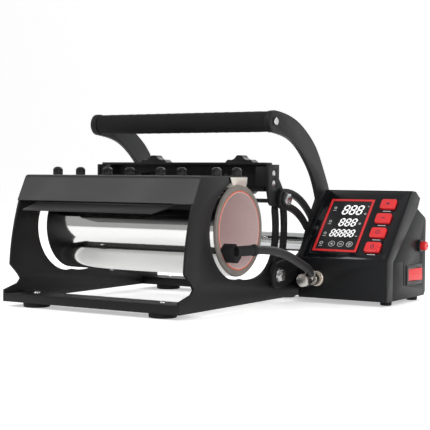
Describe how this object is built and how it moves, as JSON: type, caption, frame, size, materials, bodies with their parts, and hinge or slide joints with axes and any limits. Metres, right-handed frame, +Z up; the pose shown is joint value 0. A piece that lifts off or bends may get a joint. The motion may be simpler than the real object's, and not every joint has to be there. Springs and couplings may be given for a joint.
{
  "type": "tumbler heat press",
  "caption": "Lever heat press for slim tumblers: a heated sleeve in a steel band under a hood, a swinging clamp beam with knobs, and a control box wired to the sleeve.",
  "frame": {"origin": "on the floor, under the middle of the whole press", "axes": "+X across the press towards the control box, +Y from the hood's front to the rear, +Z up"},
  "size_m": [0.4044, 0.3764, 0.2345],
  "materials": {
    "black_coat": "satin black powder coat",
    "hood_coat": "satin black powder coat",
    "polished_steel": "mirror polished sheet",
    "brushed_bar": "satin bar",
    "screw_steel": "bright zinc",
    "black_nut": "black oxide",
    "felt": "grey-brown sponge felt",
    "heater_rubber": "orange silicone",
    "liner_rubber": "pale silicone",
    "foot_rubber": "matt",
    "foam": "soft foam",
    "cable_rubber": "matt",
    "plug_plastic": "matt",
    "socket_metal": "plated",
    "knob_plastic": "matt black",
    "box_plastic": "fine texture",
    "panel_gloss": "glossy",
    "red_plastic": "glossy",
    "display_dark": "dark window",
    "board_green": "coated board",
    "silver_ring": "plated"
  },
  "bodies": {
    "base": {"left_end_plate": "black_coat", "right_end_plate": "black_coat", "hood": "hood_coat", "guide_flap": "hood_coat", "flap_rivets": "screw_steel", "front_base_rail": "black_coat", "rear_base_rail": "black_coat", "rubber_feet": "foot_rubber", "foot_screws": "screw_steel", "top_saddle": "brushed_bar", "front_clamp_bar": "brushed_bar", "clamp_studs": "screw_steel", "cap_nuts": "black_nut", "steel_band": "polished_steel", "sponge_sleeve": "felt", "heating_mat": "heater_rubber", "inner_liner": "liner_rubber", "mat_plug": "plug_plastic", "heater_cable": "cable_rubber", "cable_connector": "silver_ring", "panel_socket": "socket_metal", "pivot_bolts": "screw_steel", "pivot_spacers": "screw_steel", "front_shell": "box_plastic", "rear_housing": "box_plastic", "control_panel": "panel_gloss", "display_frame": "red_plastic", "display_glass": "display_dark", "circuit_board": "board_green", "rocker_bezel": "plug_plastic", "fuse_holder": "plug_plastic", "power_inlet": "plug_plastic", "box_bracket": "black_coat", "box_feet": "foot_rubber"},
    "lever": {"right_lever_arm": "black_coat", "left_lever_arm": "black_coat", "grip_tube": "screw_steel", "foam_grip": "foam", "grip_collars": "plug_plastic", "grip_screws": "screw_steel", "lever_crossbar": "polished_steel"},
    "carriage": {"rear_beam": "black_coat", "left_bracket": "black_coat", "right_bracket": "black_coat", "bracket_screws": "screw_steel", "guide_bolts": "screw_steel", "star_washers": "black_nut", "guide_nuts": "screw_steel", "tie_rod": "black_nut"},
    "left_knob": {"left_pressure_knob": "knob_plastic"},
    "right_knob": {"right_pressure_knob": "knob_plastic"},
    "set_key": {"set_button": "red_plastic"},
    "down_key": {"down_button": "red_plastic"},
    "up_key": {"up_button": "red_plastic"},
    "mode_key": {"mode_button": "red_plastic"},
    "rocker": {"power_rocker": "red_plastic"},
    "fuse_turn_cap": {"fuse_cap": "red_plastic"},
    "connector_ring": {"coupling_ring": "silver_ring"}
  },
  "joints": [
    {"name": "lever_swing", "type": "hinge", "parent": "base", "child": "lever", "pos_m": [-0.06225, 0.02017, 0.036], "axis": [1, 0, 0], "range_deg": [0, 32]},
    {"name": "carriage_swing", "type": "hinge", "parent": "base", "child": "carriage", "pos_m": [-0.06225, -0.06483, 0.093], "axis": [1, 0, 0], "range_deg": [0, 3.9]},
    {"name": "left_knob_turn", "type": "hinge", "parent": "carriage", "child": "left_knob", "pos_m": [-0.12725, 0.04817, 0.1545], "axis": [0, 1, 0], "continuous": true},
    {"name": "right_knob_turn", "type": "hinge", "parent": "carriage", "child": "right_knob", "pos_m": [0.00275, 0.04817, 0.1545], "axis": [0, 1, 0], "continuous": true},
    {"name": "set_press", "type": "slide", "parent": "base", "child": "set_key", "axis": [0, 0.7484, -0.6633], "range_m": [0, 0.0008], "stiffness_N_per_m": 400, "springref_m": -0.0005},
    {"name": "down_press", "type": "slide", "parent": "base", "child": "down_key", "axis": [0, 0.7484, -0.6633], "range_m": [0, 0.0008], "stiffness_N_per_m": 400, "springref_m": -0.0005},
    {"name": "up_press", "type": "slide", "parent": "base", "child": "up_key", "axis": [0, 0.7484, -0.6633], "range_m": [0, 0.0008], "stiffness_N_per_m": 400, "springref_m": -0.0005},
    {"name": "mode_press", "type": "slide", "parent": "base", "child": "mode_key", "axis": [0, 0.7484, -0.6633], "range_m": [0, 0.0008], "stiffness_N_per_m": 400, "springref_m": -0.0005},
    {"name": "rocker_tilt", "type": "hinge", "parent": "base", "child": "rocker", "pos_m": [0.18825, 0.14817, 0.0345], "axis": [0, 0, 1], "range_deg": [0, 16]},
    {"name": "fuse_cap_turn", "type": "hinge", "parent": "base", "child": "fuse_turn_cap", "pos_m": [0.19975, 0.16617, 0.0695], "axis": [1, 0, 0], "continuous": true},
    {"name": "connector_ring_turn", "type": "hinge", "parent": "base", "child": "connector_ring", "pos_m": [0.09905, 0.05417, 0.0305], "axis": [0, 1, 0], "continuous": true}
  ],
  "couplings": [
    {"joint": "carriage_swing", "follows": "lever_swing", "ratio": 0.12}
  ]
}
